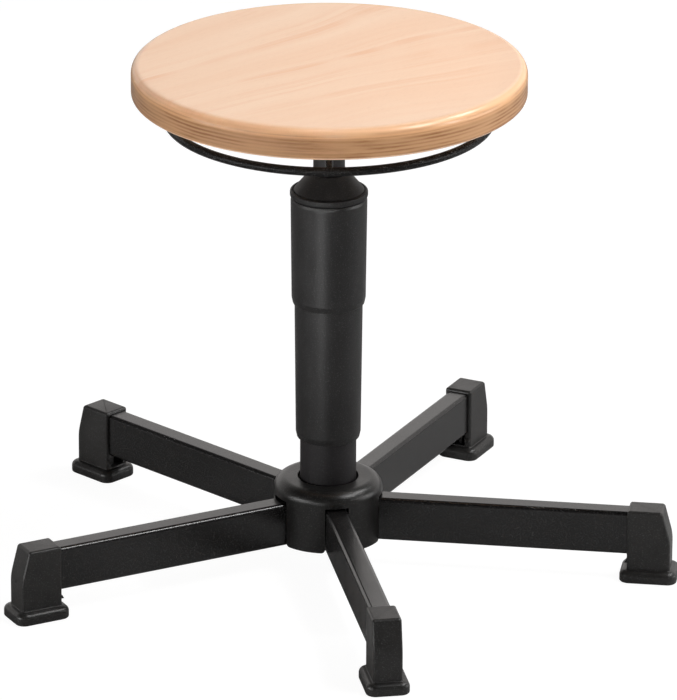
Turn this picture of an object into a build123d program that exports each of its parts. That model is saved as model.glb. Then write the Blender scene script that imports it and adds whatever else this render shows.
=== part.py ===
"""Swivel stool: round plywood seat on a gas column with a ring release and a five-leg base.

Millimetres. The origin is on the floor under the column's axis, +Z is up and the front is -Y.
The pose is the raised seat.
"""

import os
from math import cos, radians, sin, tan

from build123d import *

os.makedirs("parts", exist_ok=True)

# Fits
joined_gap = 0.02  # pieces that are welded, pressed or screwed together
running_gap = 0.05  # a shaft in its guide, on the radius
slide_gap = 0.35  # a cover that slides past its neighbour, on the radius

# Seat board
seat_d = 347.0
seat_t = 28.0
seat_top_z = 467.0
seat_top_edge_r = 8.0
seat_bottom_edge_r = 4.0

# Seat screws and mounting plate
screw_pitch = 120.0
screw_d = 5.0
screw_head_d = 11.0
screw_head_t = 3.2
screw_grip = 17.0
screw_recess_l = 5.6
screw_recess_w = 1.1
plate_margin = 15.0
plate_t = 3.0
plate_corner_r = 16.0

# Socket bracket: a pressed bowl and the tapered socket in its floor
bowl_mouth_d = 92.0
bowl_rim_w = 11.0
bowl_taper = 10.0
bowl_h = 37.0
bowl_t = 2.5
bowl_bend_r = 3.0
bowl_slot_w = 13.0
bowl_slot_sill = 17.0
socket_wall = 5.0
socket_h = 32.0

# Gas spring
tube_d = 28.0
tube_wall = 2.5
tube_drop = 13.0
tube_bottom_z = 174.0
tube_cone_l = 38.0
tube_cone_angle = 1.4375
tube_lip_t = 2.0
valve_l = 18.0
button_d = 8.0
button_l = 25.0
button_dome_r = 12.0
button_play = 0.15
rod_d = 10.0
rod_spigot_d = 8.0
rod_tail = 3.2
rod_guide_l = 20.0
piston_l = 14.0
piston_gap = 3.0
piston_spigot_d = 6.0

# Release ring
ring_d = 284.0
ring_bar_d = 8.0
ring_drop = 21.0
spoke_count = 4
spoke_d = 7.0
spoke_low_r = 72.0
spoke_high_r = 54.0
spoke_end_r = 16.0
spoke_bend_r = 12.0
rocker_d = 48.0
rocker_t = 4.0
rocker_play = 0.3
rocker_edge_r = 1.2

# Telescopic covers, from the column outwards
middle_room = 3.9
middle_flare = 1.3
middle_bottom_z = 118.0
middle_flange_h = 2.5
middle_catch = 4.5
upper_room = 2.6
upper_flare = 1.0
upper_bottom_z = 245.0
cover_wall = 1.6
cover_seam = 0.5
cover_lip_t = 2.0
cover_lip_h = 5.5
cover_edge_r = 0.8
cap_neck_wall = 3.5
cap_drop = 18.0
cap_cone_drop = 16.2
cap_bead_over = 0.6
cap_bead_in = 2.8
cap_bead_w = 2.4
cap_bead_h = 6.4
cap_wall = 2.2
cap_plug_h = 4.0

# Column
column_d = 50.0
column_t = 2.0
column_top_z = 220.0
column_bottom_z = 16.0
column_floor_t = 4.0
column_taper_over = 4.0
column_taper_angle = 1.387
bush_l = 74.0
bush_collar_t = 2.5
bush_land_l = 14.0
bush_relief = 1.2

# Thrust bearing and rod end
ball_d = 3.2
ball_count = 9
ball_pitch_d = 17.0
cage_t = 1.4
cage_w = 5.0
washer_over = 7.0
washer_t = 2.0
bumper_d = 25.0
bumper_l = 15.5
clip_d = 18.0
clip_t = 1.2
clip_groove_d = 6.4
clip_mouth_w = 6.0
end_washer_t = 1.6

# Base
leg_count = 5
leg_phase = -8.25
leg_w = 20.0
leg_h = 40.0
leg_t = 1.5
leg_corner_r = 2.5
leg_bottom_z = 24.0
leg_end_r = 296.0
core_wall = 5.0
core_below = 3.0
hub_room = 18.5
hub_rise = 16.0
hub_roof = 6.0
hub_wall = 2.6
hub_edge_r = 11.0
hub_opening_gap = 2.2
hub_slot_gap = 0.7
hub_slot_top_gap = 2.2
hub_slot_top_r = 1.0
hub_lobe_r = 3.5

# Feet: boots pushed over the ends of the legs
boot_grip = 26.4
boot_end_wall = 4.8
boot_flare = 7.4
boot_side_wall = 3.0
boot_top_wall = 2.5
boot_shoulder_z = 39.0
boot_shoulder_r = 45.0
boot_corner_r = 2.2
boot_top_edge_r = 1.6
nib_drop = 4.3
nib_depth = 1.9
nib_h = 3.2
sole_margin = 6.3
sole_h = 11.0
sole_corner_r = 8.0
sole_edge_r = 5.0
sole_foot_r = 1.5
recess_end_wall = 4.4
recess_sill = 1.5
rib_w = 3.0
rib_setback = 6.0

# Heights and radii that follow
seat_under_z = seat_top_z - seat_t
plate_w = screw_pitch + 2 * plate_margin
plate_z = seat_under_z - joined_gap - plate_t
bowl_rim_d = bowl_mouth_d + 2 * bowl_rim_w
bowl_floor_d = bowl_mouth_d - 2 * bowl_taper
bowl_top_z = plate_z - joined_gap
bowl_floor_z = bowl_top_z - bowl_h
tube_r = tube_d / 2
tube_bore_r = tube_r - tube_wall
tube_top_z = plate_z - tube_drop
tube_cone_slope = tan(radians(tube_cone_angle))
tube_cone_z = tube_top_z - tube_cone_l
tube_top_r = tube_r - tube_cone_l * tube_cone_slope
socket_d = tube_d + 2 * socket_wall
valve_top_z = tube_top_z - tube_lip_t - joined_gap
rocker_z = plate_z - rocker_play - rocker_t
button_top_z = rocker_z - button_play
ring_r = ring_d / 2
ring_z = seat_under_z - ring_drop
spoke_high_z = rocker_z - joined_gap - spoke_d / 2
rod_guide_z = tube_bottom_z + tube_lip_t + joined_gap
piston_z = rod_guide_z + rod_guide_l + piston_gap
column_r = column_d / 2
column_bore_r = column_r - column_t
column_taper_slope = tan(radians(column_taper_angle))
middle_bottom_r = column_r + middle_room
middle_top_r = middle_bottom_r + middle_flare
middle_lip_r = column_r + slide_gap
middle_top_z = upper_bottom_z + cover_lip_t + middle_catch
upper_bottom_r = middle_top_r + upper_room
upper_top_r = upper_bottom_r + upper_flare
upper_lip_r = middle_top_r + slide_gap
middle_flange_r = upper_bottom_r - cover_wall - slide_gap
cap_top_z = tube_cone_z - cap_drop
cap_cone_z = cap_top_z - cap_cone_drop
cap_bottom_z = cap_cone_z - cap_bead_h
upper_top_z = cap_bottom_z - cover_seam
upper_draft = upper_flare / (upper_top_z - upper_bottom_z - cover_lip_h)
leg_top_z = leg_bottom_z + leg_h
leg_mid_z = leg_bottom_z + leg_h / 2
hub_top_z = leg_top_z + hub_rise
hub_bottom_z = leg_bottom_z
core_d = column_d + 2 * core_wall
core_top_z = hub_top_z - hub_roof
core_bottom_z = leg_bottom_z - core_below
hub_d = core_d + 2 * hub_room
hub_opening_d = column_d + 2 * hub_opening_gap
column_taper_z = core_top_z + column_taper_over
column_end_r = column_r - (column_taper_z - column_bottom_z) * column_taper_slope
floor_z = column_bottom_z + column_floor_t
washer_d = ball_pitch_d + washer_over
lower_washer_z = floor_z + joined_gap
ball_z = lower_washer_z + washer_t + joined_gap + ball_d / 2
upper_washer_z = ball_z + ball_d / 2 + joined_gap
rod_shoulder_z = upper_washer_z + washer_t + joined_gap
end_washer_z = column_bottom_z - joined_gap - end_washer_t
clip_z = end_washer_z - joined_gap - clip_t
rod_end_z = clip_z - rod_tail
boot_in_r = leg_end_r - boot_grip
boot_top_r = leg_end_r + boot_end_wall
boot_out_r = boot_top_r + boot_flare
boot_w = leg_w + 2 * boot_side_wall
boot_top_z = leg_top_z + boot_top_wall


def turned_outline(*points):
    """Closed outline of (radius, height) points in the plane through the column's axis."""
    with BuildSketch(Plane.XZ) as outline:
        with BuildLine():
            Polyline(*points, close=True)
        make_face()
    return outline.sketch


def column_outside(z):
    """Outside radius of the column tube at a height, with its tapered lower end."""
    return column_r - max(column_taper_z - z, 0) * column_taper_slope


def tube_outside(z):
    """Outside radius of the pressure tube at a height, with its tapered upper end."""
    return tube_r - max(z - tube_cone_z, 0) * tube_cone_slope


# Seat board with pilot holes for its screws
with BuildPart() as seat:
    with BuildSketch(Plane.XY.offset(seat_under_z)):
        Circle(seat_d / 2)
    extrude(amount=seat_t)
    fillet(seat.edges().group_by(Axis.Z)[-1], seat_top_edge_r)
    fillet(seat.edges().group_by(Axis.Z)[0], seat_bottom_edge_r)
    with BuildSketch(Plane.XY.offset(seat_under_z)):
        with GridLocations(screw_pitch, screw_pitch, 2, 2):
            Circle(screw_d / 2 + joined_gap)
    extrude(amount=screw_grip + 1, mode=Mode.SUBTRACT)
seat.part.label = "seat"
export_step(seat.part, "parts/seat.step")

# Mounting plate under the seat
with BuildPart() as mounting_plate:
    with BuildSketch(Plane.XY.offset(plate_z)):
        RectangleRounded(plate_w, plate_w, plate_corner_r)
        with GridLocations(screw_pitch, screw_pitch, 2, 2):
            Circle(screw_d / 2 + joined_gap, mode=Mode.SUBTRACT)
    extrude(amount=plate_t)
    chamfer(mounting_plate.edges().group_by(Axis.Z)[0].sort_by(SortBy.LENGTH)[-8:], plate_t / 6)
mounting_plate.part.label = "mounting_plate"
export_step(mounting_plate.part, "parts/mounting_plate.step")

# Pan-head screws that hold the plate to the seat
with BuildPart() as seat_screws:
    head_z = plate_z - joined_gap
    with BuildSketch(Plane.XY.offset(head_z)):
        with GridLocations(screw_pitch, screw_pitch, 2, 2):
            Circle(screw_head_d / 2)
    extrude(amount=-screw_head_t)
    fillet(seat_screws.edges().group_by(Axis.Z)[0], screw_head_t / 2)
    with BuildSketch(Plane.XY.offset(head_z)):
        with GridLocations(screw_pitch, screw_pitch, 2, 2):
            Circle(screw_d / 2)
    extrude(amount=plate_t + screw_grip)
    chamfer(seat_screws.edges().group_by(Axis.Z)[-1], screw_d / 3)
    with BuildSketch(Plane.XY.offset(head_z - screw_head_t)):
        with GridLocations(screw_pitch, screw_pitch, 2, 2):
            Rectangle(screw_recess_l, screw_recess_w)
            Rectangle(screw_recess_w, screw_recess_l)
    extrude(amount=screw_head_t / 2, mode=Mode.SUBTRACT)
seat_screws.part.label = "seat_screws"
export_step(seat_screws.part, "parts/seat_screws.step")

# Pressed bowl that carries the socket, open at four sides for the spokes
with BuildPart() as socket_bracket:
    revolve(
        turned_outline(
            (bowl_rim_d / 2, bowl_top_z),
            (bowl_rim_d / 2, bowl_top_z - bowl_t),
            (bowl_mouth_d / 2, bowl_top_z - bowl_t),
            (bowl_floor_d / 2, bowl_floor_z),
            (socket_d / 2 + joined_gap, bowl_floor_z),
            (socket_d / 2 + joined_gap, bowl_floor_z + bowl_t),
            (bowl_floor_d / 2 - bowl_t, bowl_floor_z + bowl_t),
            (bowl_mouth_d / 2 - bowl_t, bowl_top_z),
        ),
        axis=Axis.Z,
    )
    bends = socket_bracket.edges().filter_by(GeomType.CIRCLE)
    fillet(bends.filter_by(lambda e: abs(e.radius - bowl_floor_d / 2) < 0.01), bowl_bend_r + bowl_t)
    fillet(bends.filter_by(lambda e: abs(e.radius - bowl_mouth_d / 2) < 0.01), bowl_bend_r)
    with BuildSketch(Plane.XY.offset(bowl_floor_z + bowl_slot_sill)):
        Rectangle(bowl_rim_d + 2, bowl_slot_w)
        Rectangle(bowl_slot_w, bowl_rim_d + 2)
        Circle(socket_d / 2 + bowl_t, mode=Mode.SUBTRACT)
    extrude(amount=bowl_h, mode=Mode.SUBTRACT)
socket_bracket.part.label = "socket_bracket"
export_step(socket_bracket.part, "parts/socket_bracket.step")

# Tapered socket that grips the cone of the pressure tube
with BuildPart() as cone_socket:
    socket_top_z = tube_cone_z + socket_h
    revolve(
        turned_outline(
            (tube_outside(tube_cone_z) + joined_gap, tube_cone_z),
            (socket_d / 2, tube_cone_z),
            (socket_d / 2, socket_top_z),
            (tube_outside(socket_top_z) + joined_gap, socket_top_z),
        ),
        axis=Axis.Z,
    )
    rims = cone_socket.edges().filter_by(GeomType.CIRCLE)
    chamfer(rims.filter_by(lambda e: abs(e.radius - socket_d / 2) < 0.01), 1.2)
cone_socket.part.label = "cone_socket"
export_step(cone_socket.part, "parts/cone_socket.step")

# Release ring: a bar bent to a full circle
with BuildPart() as release_ring:
    with Locations((0, 0, ring_z)):
        Torus(ring_r, ring_bar_d / 2)
release_ring.part.label = "release_ring"
export_step(release_ring.part, "parts/release_ring.step")

# Cranked spokes from the ring up to the rocker disc, coped to the ring
with BuildPart() as ring_spokes:
    for number in range(spoke_count):
        turn = radians(360 / spoke_count * number)
        upright = Plane((0, 0, 0), x_dir=(cos(turn), sin(turn), 0), z_dir=(sin(turn), -cos(turn), 0))
        with BuildLine(upright) as route:
            FilletPolyline(
                (ring_r, ring_z),
                (spoke_low_r, ring_z),
                (spoke_high_r, spoke_high_z),
                (spoke_end_r, spoke_high_z),
                radius=spoke_bend_r,
            )
        with BuildSketch(Plane(route.line @ 0, z_dir=route.line % 0)):
            Circle(spoke_d / 2)
        sweep(path=route.line)
    with Locations((0, 0, ring_z)):
        Torus(ring_r, ring_bar_d / 2 + joined_gap, mode=Mode.SUBTRACT)
ring_spokes.part.label = "ring_spokes"
export_step(ring_spokes.part, "parts/ring_spokes.step")

# Rocker disc: its rim bears on the mounting plate and its middle on the valve button
with BuildPart() as rocker_disc:
    with BuildSketch(Plane.XY.offset(rocker_z)):
        Circle(rocker_d / 2)
    extrude(amount=rocker_t)
    fillet(rocker_disc.edges().filter_by(GeomType.CIRCLE), rocker_edge_r)
rocker_disc.part.label = "rocker_disc"
export_step(rocker_disc.part, "parts/rocker_disc.step")

# Valve button with a domed end
with BuildPart() as valve_button:
    with BuildSketch(Plane.XZ):
        with BuildLine():
            dome_edge_z = button_top_z - button_dome_r + (button_dome_r**2 - (button_d / 2) ** 2) ** 0.5
            Polyline(
                (0, button_top_z),
                (0, button_top_z - button_l),
                (button_d / 2, button_top_z - button_l),
                (button_d / 2, dome_edge_z),
            )
            RadiusArc((button_d / 2, dome_edge_z), (0, button_top_z), -button_dome_r)
        make_face()
    revolve(axis=Axis.Z)
valve_button.part.label = "valve_button"
export_step(valve_button.part, "parts/valve_button.step")

# Valve body in the top of the pressure tube
with BuildPart() as valve_body:
    revolve(
        turned_outline(
            (button_d / 2 + running_gap, valve_top_z),
            (button_d / 2 + running_gap, valve_top_z - valve_l),
            (tube_bore_r - joined_gap, valve_top_z - valve_l),
            (tube_bore_r - joined_gap, valve_top_z),
        ),
        axis=Axis.Z,
    )
    chamfer(valve_body.edges().group_by(Axis.Z)[0], 0.8)
valve_body.part.label = "valve_body"
export_step(valve_body.part, "parts/valve_body.step")

# Pressure tube: tapered above, rolled in at both ends
with BuildPart() as pressure_tube:
    lip_r = tube_bore_r - 2
    mouth_r = button_d / 2 + 1
    revolve(
        turned_outline(
            (lip_r, tube_bottom_z),
            (tube_r, tube_bottom_z),
            (tube_r, tube_cone_z),
            (tube_top_r, tube_top_z),
            (mouth_r, tube_top_z),
            (mouth_r, tube_top_z - tube_lip_t),
            (tube_bore_r, tube_top_z - tube_lip_t),
            (tube_bore_r, tube_bottom_z + tube_lip_t),
            (lip_r, tube_bottom_z + tube_lip_t),
        ),
        axis=Axis.Z,
    )
    ends = pressure_tube.edges().filter_by(GeomType.CIRCLE)
    fillet(ends.group_by(Axis.Z)[0].sort_by(SortBy.RADIUS)[-1:], 1.5)
    fillet(ends.group_by(Axis.Z)[-1].sort_by(SortBy.RADIUS)[-1:], 1.0)
pressure_tube.part.label = "pressure_tube"
export_step(pressure_tube.part, "parts/pressure_tube.step")

# Rod guide and seal in the lower end of the pressure tube
with BuildPart() as rod_guide:
    revolve(
        turned_outline(
            (rod_d / 2 + running_gap, rod_guide_z),
            (tube_bore_r - joined_gap, rod_guide_z),
            (tube_bore_r - joined_gap, rod_guide_z + rod_guide_l),
            (rod_d / 2 + running_gap, rod_guide_z + rod_guide_l),
        ),
        axis=Axis.Z,
    )
    chamfer(rod_guide.edges().group_by(Axis.Z)[-1], 1.0)
rod_guide.part.label = "rod_guide"
export_step(rod_guide.part, "parts/rod_guide.step")

# Piston with a groove for its ring
with BuildPart() as piston:
    piston_r = tube_bore_r - running_gap
    groove_r = piston_r - 1.5
    revolve(
        turned_outline(
            (piston_spigot_d / 2 + joined_gap, piston_z),
            (piston_r, piston_z),
            (piston_r, piston_z + piston_l * 0.35),
            (groove_r, piston_z + piston_l * 0.35),
            (groove_r, piston_z + piston_l * 0.65),
            (piston_r, piston_z + piston_l * 0.65),
            (piston_r, piston_z + piston_l),
            (piston_spigot_d / 2 + joined_gap, piston_z + piston_l),
        ),
        axis=Axis.Z,
    )
piston.part.label = "piston"
export_step(piston.part, "parts/piston.step")

# Piston rod with a spigot for the piston and a grooved end below the column
with BuildPart() as piston_rod:
    groove_top_z = clip_z + clip_t + joined_gap
    groove_bottom_z = clip_z - joined_gap
    revolve(
        turned_outline(
            (0, rod_end_z),
            (rod_spigot_d / 2, rod_end_z),
            (rod_spigot_d / 2, groove_bottom_z),
            (clip_groove_d / 2, groove_bottom_z),
            (clip_groove_d / 2, groove_top_z),
            (rod_spigot_d / 2, groove_top_z),
            (rod_spigot_d / 2, rod_shoulder_z),
            (rod_d / 2, rod_shoulder_z),
            (rod_d / 2, piston_z - joined_gap),
            (piston_spigot_d / 2, piston_z - joined_gap),
            (piston_spigot_d / 2, piston_z + piston_l + 2),
            (0, piston_z + piston_l + 2),
        ),
        axis=Axis.Z,
    )
    chamfer(piston_rod.edges().group_by(Axis.Z)[0], 0.8)
    chamfer(piston_rod.edges().group_by(Axis.Z)[-1], 0.8)
piston_rod.part.label = "piston_rod"
export_step(piston_rod.part, "parts/piston_rod.step")

# Cap of the telescopic cover: a cone clipped on the pressure tube, with a round bead at its foot
with BuildPart() as cover_cap:
    neck_r = tube_r + cap_neck_wall
    bead_r = upper_top_r + cap_bead_over
    cone_r = bead_r - cap_bead_in
    crown_r = bead_r - cap_bead_w / 2
    grip_r = tube_r + joined_gap
    plug_r = upper_top_r - cover_wall - cap_plug_h * upper_draft - joined_gap
    plug_bore_r = middle_flange_r + slide_gap
    cone_slope = cap_cone_drop / (cone_r - neck_r)
    inner_drop = cap_wall * (1 + cone_slope**2) ** 0.5
    with BuildSketch(Plane.XZ):
        with BuildLine():
            Polyline(
                (grip_r, cap_top_z),
                (neck_r, cap_top_z),
                (cone_r, cap_cone_z),
                (cone_r, cap_cone_z - cap_bead_w / 2),
                (bead_r - cap_bead_w, cap_cone_z - cap_bead_w / 2),
            )
            CenterArc((crown_r, cap_cone_z - cap_bead_w / 2), cap_bead_w / 2, 180, -180)
            Polyline(
                (bead_r, cap_cone_z - cap_bead_w / 2),
                (bead_r, cap_cone_z - cap_bead_h / 2),
                (bead_r - cap_bead_w / 4, cap_bottom_z),
                (plug_r, cap_bottom_z),
                (plug_r, cap_bottom_z - cap_plug_h),
                (plug_bore_r, cap_bottom_z - cap_plug_h),
                (plug_bore_r, cap_top_z - (plug_bore_r - neck_r) * cone_slope - inner_drop),
                (neck_r, cap_top_z - inner_drop),
                (grip_r, cap_top_z - inner_drop - cap_wall),
                (grip_r, cap_top_z),
            )
        make_face()
    revolve(axis=Axis.Z)
    collar = cover_cap.edges().filter_by(GeomType.CIRCLE).group_by(Axis.Z)[-1]
    fillet(collar.sort_by(SortBy.RADIUS)[-1:], 0.8)
cover_cap.part.label = "cover_cap"
export_step(cover_cap.part, "parts/cover_cap.step")


def sleeve_outline(top_r, top_z, bottom_r, bottom_z, lip_r, flange):
    """Outline of a tapered sleeve with a turned-in lower lip; flange is its (radius, height) or None."""
    turn_z = bottom_z + cover_lip_h
    inner_turn_r = bottom_r - cover_wall
    with BuildSketch(Plane.XZ) as outline:
        with BuildLine():
            EllipticalCenterArc((lip_r, turn_z), bottom_r - lip_r, cover_lip_h, start_angle=270, arc_size=90)
            if flange:
                flange_r, flange_h = flange
                Polyline(
                    (bottom_r, turn_z),
                    (top_r, top_z - flange_h),
                    (flange_r, top_z - flange_h),
                    (flange_r, top_z),
                    (top_r - cover_wall, top_z),
                )
            else:
                Polyline((bottom_r, turn_z), (top_r, top_z), (top_r - cover_wall, top_z))
            Polyline(
                (top_r - cover_wall, top_z),
                (inner_turn_r, turn_z),
                (lip_r, bottom_z + cover_lip_t),
                (lip_r, bottom_z),
            )
        make_face()
    return outline.sketch


# Upper cover sleeve, hung from the cap
with BuildPart() as upper_sleeve:
    revolve(
        sleeve_outline(upper_top_r, upper_top_z, upper_bottom_r, upper_bottom_z, upper_lip_r, None),
        axis=Axis.Z,
    )
    fillet(upper_sleeve.edges().group_by(Axis.Z)[-1].sort_by(SortBy.RADIUS)[-1:], cover_edge_r)
upper_sleeve.part.label = "upper_sleeve"
export_step(upper_sleeve.part, "parts/upper_sleeve.step")

# Middle cover sleeve, hung by its flange from the upper sleeve's lip
with BuildPart() as middle_sleeve:
    revolve(
        sleeve_outline(
            middle_top_r,
            middle_top_z,
            middle_bottom_r,
            middle_bottom_z,
            middle_lip_r,
            (middle_flange_r, middle_flange_h),
        ),
        axis=Axis.Z,
    )
middle_sleeve.part.label = "middle_sleeve"
export_step(middle_sleeve.part, "parts/middle_sleeve.step")

# Column tube with a tapered lower end and a pressed-in floor
with BuildPart() as column_tube:
    floor_hole_r = rod_spigot_d / 2 + 0.6
    revolve(
        turned_outline(
            (floor_hole_r, column_bottom_z),
            (column_end_r, column_bottom_z),
            (column_r, column_taper_z),
            (column_r, column_top_z),
            (column_bore_r, column_top_z),
            (column_bore_r, column_taper_z),
            (column_outside(floor_z) - column_t, floor_z),
            (floor_hole_r, floor_z),
        ),
        axis=Axis.Z,
    )
    fillet(column_tube.edges().group_by(Axis.Z)[0].sort_by(SortBy.RADIUS)[-1:], 1.5)
column_tube.part.label = "column_tube"
export_step(column_tube.part, "parts/column_tube.step")

# Guide bush that the pressure tube slides and turns in
with BuildPart() as guide_bush:
    bush_r = column_bore_r - joined_gap
    bush_bore_r = tube_r + running_gap
    bush_bottom_z = column_top_z - bush_l
    revolve(
        turned_outline(
            (bush_bore_r, bush_bottom_z),
            (bush_r, bush_bottom_z),
            (bush_r, column_top_z + joined_gap),
            (column_r, column_top_z + joined_gap),
            (column_r, column_top_z + bush_collar_t),
            (bush_bore_r, column_top_z + bush_collar_t),
            (bush_bore_r, column_top_z - bush_land_l),
            (bush_bore_r + bush_relief, column_top_z - bush_land_l),
            (bush_bore_r + bush_relief, bush_bottom_z + bush_land_l),
            (bush_bore_r, bush_bottom_z + bush_land_l),
        ),
        axis=Axis.Z,
    )
    chamfer(guide_bush.edges().group_by(Axis.Z)[-1], 0.8)
guide_bush.part.label = "guide_bush"
export_step(guide_bush.part, "parts/guide_bush.step")

# Lower washer of the thrust bearing
with BuildPart() as lower_washer:
    with BuildSketch(Plane.XY.offset(lower_washer_z)):
        Circle(washer_d / 2)
        Circle(rod_spigot_d / 2 + 0.6, mode=Mode.SUBTRACT)
    extrude(amount=washer_t)
lower_washer.part.label = "lower_washer"
export_step(lower_washer.part, "parts/lower_washer.step")

# Bearing balls
with BuildPart() as bearing_balls:
    with Locations((0, 0, ball_z)):
        with PolarLocations(ball_pitch_d / 2, ball_count):
            Sphere(ball_d / 2)
bearing_balls.part.label = "bearing_balls"
export_step(bearing_balls.part, "parts/bearing_balls.step")

# Cage that keeps the balls apart
with BuildPart() as ball_cage:
    with BuildSketch(Plane.XY.offset(ball_z - cage_t / 2)):
        Circle((ball_pitch_d + cage_w) / 2)
        Circle((ball_pitch_d - cage_w) / 2, mode=Mode.SUBTRACT)
        with PolarLocations(ball_pitch_d / 2, ball_count):
            Circle(ball_d / 2 + joined_gap, mode=Mode.SUBTRACT)
    extrude(amount=cage_t)
ball_cage.part.label = "ball_cage"
export_step(ball_cage.part, "parts/ball_cage.step")

# Upper washer of the thrust bearing, under the rod's shoulder
with BuildPart() as upper_washer:
    with BuildSketch(Plane.XY.offset(upper_washer_z)):
        Circle(washer_d / 2)
        Circle(rod_spigot_d / 2 + joined_gap, mode=Mode.SUBTRACT)
    extrude(amount=washer_t)
upper_washer.part.label = "upper_washer"
export_step(upper_washer.part, "parts/upper_washer.step")

# Rubber bumper that stops the lowered pressure tube
with BuildPart() as rubber_bumper:
    with BuildSketch(Plane.XY.offset(rod_shoulder_z)):
        Circle(bumper_d / 2)
        Circle(rod_d / 2 + joined_gap, mode=Mode.SUBTRACT)
    extrude(amount=bumper_l)
    fillet(rubber_bumper.edges().group_by(Axis.Z)[-1].sort_by(SortBy.RADIUS)[-1:], 3)
rubber_bumper.part.label = "rubber_bumper"
export_step(rubber_bumper.part, "parts/rubber_bumper.step")

# Washer between the column's floor and the clip
with BuildPart() as end_washer:
    with BuildSketch(Plane.XY.offset(end_washer_z)):
        Circle(clip_d / 2 + 2)
        Circle(rod_spigot_d / 2 + joined_gap, mode=Mode.SUBTRACT)
    extrude(amount=end_washer_t)
end_washer.part.label = "end_washer"
export_step(end_washer.part, "parts/end_washer.step")

# Spring clip in the groove of the rod's end
with BuildPart() as rod_clip:
    with BuildSketch(Plane.XY.offset(clip_z)):
        Circle(clip_d / 2)
        Circle(clip_groove_d / 2 + joined_gap, mode=Mode.SUBTRACT)
        with Locations((clip_d / 2, 0)):
            Rectangle(clip_d, clip_mouth_w, mode=Mode.SUBTRACT)
    extrude(amount=clip_t)
    fillet(rod_clip.edges().filter_by(Axis.Z).sort_by(Axis.X)[-2:], 1)
rod_clip.part.label = "rod_clip"
export_step(rod_clip.part, "parts/rod_clip.step")

# Steel core of the hub, bored to the column's taper
with BuildPart() as hub_core:
    revolve(
        turned_outline(
            (column_outside(core_bottom_z) + joined_gap, core_bottom_z),
            (core_d / 2, core_bottom_z),
            (core_d / 2, core_top_z),
            (column_outside(core_top_z) + joined_gap, core_top_z),
        ),
        axis=Axis.Z,
    )
    chamfer(hub_core.edges().group_by(Axis.Z)[0].sort_by(SortBy.RADIUS)[-1:], 1)
hub_core.part.label = "hub_core"
export_step(hub_core.part, "parts/hub_core.step")

# Moulded hub cover: a shell that drops over the core, slotted for the legs
with BuildPart() as hub_cover:
    with BuildSketch(Plane.XY.offset(hub_bottom_z)):
        Circle(hub_d / 2)
    extrude(amount=hub_top_z - hub_bottom_z)
    fillet(hub_cover.edges().group_by(Axis.Z)[-1], hub_edge_r)
    offset(amount=-hub_wall, openings=hub_cover.faces().sort_by(Axis.Z)[0])
    with BuildSketch(Plane.XY.offset(core_top_z + joined_gap)):
        Circle(core_d / 2)
    extrude(amount=hub_top_z - core_top_z - joined_gap)
    with BuildSketch(Plane.XY.offset(hub_bottom_z)):
        Circle(hub_opening_d / 2)
    extrude(amount=hub_top_z, mode=Mode.SUBTRACT)
    fillet(hub_cover.edges().filter_by(GeomType.CIRCLE).group_by(Axis.Z)[-1].sort_by(SortBy.RADIUS)[:1], 1)
    slot_w = leg_w + 2 * hub_slot_gap
    slot_h = leg_top_z + hub_slot_top_gap - hub_bottom_z
    for number in range(leg_count):
        turn = radians(leg_phase + 360 / leg_count * number)
        across = Plane(
            (0, 0, hub_bottom_z), x_dir=(-sin(turn), cos(turn), 0), z_dir=(cos(turn), sin(turn), 0)
        )
        with BuildSketch(across) as slot:
            with Locations((0, slot_h / 2)):
                Rectangle(slot_w, slot_h)
            fillet(slot.vertices().group_by(Axis.Y)[-1], hub_slot_top_r)
            with Locations((0, hub_lobe_r / 2)):
                Rectangle(slot_w + 2 * hub_lobe_r, hub_lobe_r)
            with Locations((slot_w / 2 + hub_lobe_r, hub_lobe_r), (-slot_w / 2 - hub_lobe_r, hub_lobe_r)):
                Circle(hub_lobe_r, mode=Mode.SUBTRACT)
        extrude(amount=hub_d, mode=Mode.SUBTRACT)
hub_cover.part.label = "hub_cover"
export_step(hub_cover.part, "parts/hub_cover.step")

# One leg along +X: rectangular tube coped to the hub core
with BuildPart() as leg_form:
    with BuildSketch(Plane.YZ):
        with Locations((0, leg_mid_z)):
            RectangleRounded(leg_w, leg_h, leg_corner_r)
            RectangleRounded(leg_w - 2 * leg_t, leg_h - 2 * leg_t, leg_corner_r - leg_t, mode=Mode.SUBTRACT)
    extrude(amount=leg_end_r)
    with BuildSketch(Plane.XY):
        Circle(core_d / 2 + joined_gap)
    extrude(amount=hub_top_z, mode=Mode.SUBTRACT)

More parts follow.
